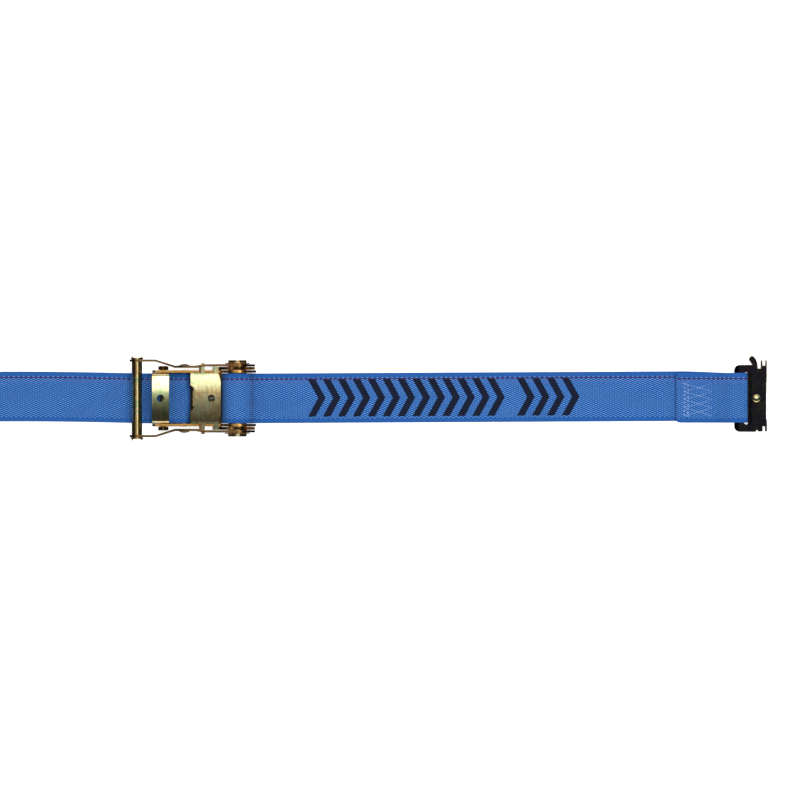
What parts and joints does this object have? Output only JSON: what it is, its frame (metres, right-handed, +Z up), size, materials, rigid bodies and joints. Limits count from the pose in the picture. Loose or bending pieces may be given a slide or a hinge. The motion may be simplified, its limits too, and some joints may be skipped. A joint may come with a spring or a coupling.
{
  "type": "ratchet tie down",
  "caption": "Ratchet buckle on flat blue webbing, closed, with a slotted-track spring fitting sewn into each end of the webbing.",
  "frame": {"origin": "middle of the underside of the ratchet frame's base web", "axes": "+X along the webbing from the fixed end to the adjustable end, +Z up from the base, through the closed handle"},
  "size_m": [0.9211, 0.0866, 0.04],
  "materials": {
    "yellow_zinc": "yellow zinc dichromate plate, satin, with green and pink iridescence",
    "smoked_zinc": "dark dichromate zinc plate, nearly black, with a gold line where an edge is worn",
    "spring_steel": "plain bright spring wire",
    "blue_webbing": "blue polyester webbing, plain weave, with a dark red tracer line near one edge"
  },
  "bodies": {
    "frame": {"frame": "yellow_zinc", "strap_guard": "yellow_zinc", "rear_bolt": "yellow_zinc", "rear_nut": "yellow_zinc", "strap_rod": "yellow_zinc", "locking_spring": "spring_steel", "adjustable_webbing": "blue_webbing", "adjustable_webbing_eye": "blue_webbing", "fixed_webbing": "blue_webbing", "fixed_webbing_eye": "blue_webbing"},
    "locking_pawl": {"locking_pawl": "yellow_zinc"},
    "handle": {"handle_arm_a": "yellow_zinc", "handle_arm_b": "yellow_zinc", "grip_tube": "yellow_zinc", "handle_bridge": "yellow_zinc", "drive_spring": "spring_steel"},
    "release_plate": {"release_plate": "yellow_zinc"},
    "mandrel": {"mandrel_bar_upper": "yellow_zinc", "mandrel_bar_lower": "yellow_zinc", "ratchet_wheel_a": "yellow_zinc", "ratchet_wheel_b": "yellow_zinc", "end_washer_a": "yellow_zinc", "end_washer_b": "yellow_zinc", "cotter_pin_a": "yellow_zinc", "cotter_pin_b": "yellow_zinc", "webbing_roll": "blue_webbing"},
    "right_fitting": {"right_fitting_body": "smoked_zinc", "right_fitting_rivet": "yellow_zinc", "right_fitting_spring": "spring_steel"},
    "right_latch": {"right_fitting_latch": "smoked_zinc"},
    "left_fitting": {"left_fitting_body": "smoked_zinc", "left_fitting_rivet": "yellow_zinc", "left_fitting_spring": "spring_steel"},
    "left_latch": {"left_fitting_latch": "smoked_zinc"}
  },
  "joints": [
    {"name": "handle_pivot", "type": "hinge", "parent": "frame", "child": "handle", "pos_m": [0.051, 0, 0.021], "axis": [0, 1, 0], "range_deg": [0, 150]},
    {"name": "release_slide", "type": "slide", "parent": "handle", "child": "release_plate", "axis": [-1, 0, 0], "range_m": [-0.0032, 0.005], "stiffness_N_per_m": 350, "springref_m": -0.0052, "deforming": ["drive_spring"]},
    {"name": "locking_slide", "type": "slide", "parent": "frame", "child": "locking_pawl", "axis": [-1, 0, 0], "range_m": [0, 0.005], "stiffness_N_per_m": 350, "springref_m": -0.003, "deforming": ["locking_spring"]},
    {"name": "mandrel_turn", "type": "hinge", "parent": "frame", "child": "mandrel", "pos_m": [0.051, 0, 0.021], "axis": [0, 1, 0], "continuous": true},
    {"name": "right_fitting_swing", "type": "hinge", "parent": "frame", "child": "right_fitting", "pos_m": [0.5612, 0, 0.0074], "axis": [0, 1, 0], "range_deg": [-75, 75], "deforming": ["adjustable_webbing_eye"]},
    {"name": "right_latch_slide", "type": "slide", "parent": "right_fitting", "child": "right_latch", "axis": [0, -1, 0], "range_m": [0, 0.006], "stiffness_N_per_m": 300, "springref_m": -0.004, "deforming": ["right_fitting_spring"]},
    {"name": "left_fitting_swing", "type": "hinge", "parent": "frame", "child": "left_fitting", "pos_m": [-0.3047, 0, 0.0074], "axis": [0, 1, 0], "range_deg": [-75, 75], "deforming": ["fixed_webbing_eye"]},
    {"name": "left_latch_slide", "type": "slide", "parent": "left_fitting", "child": "left_latch", "axis": [0, 1, 0], "range_m": [0, 0.006], "stiffness_N_per_m": 300, "springref_m": -0.004, "deforming": ["left_fitting_spring"]}
  ]
}
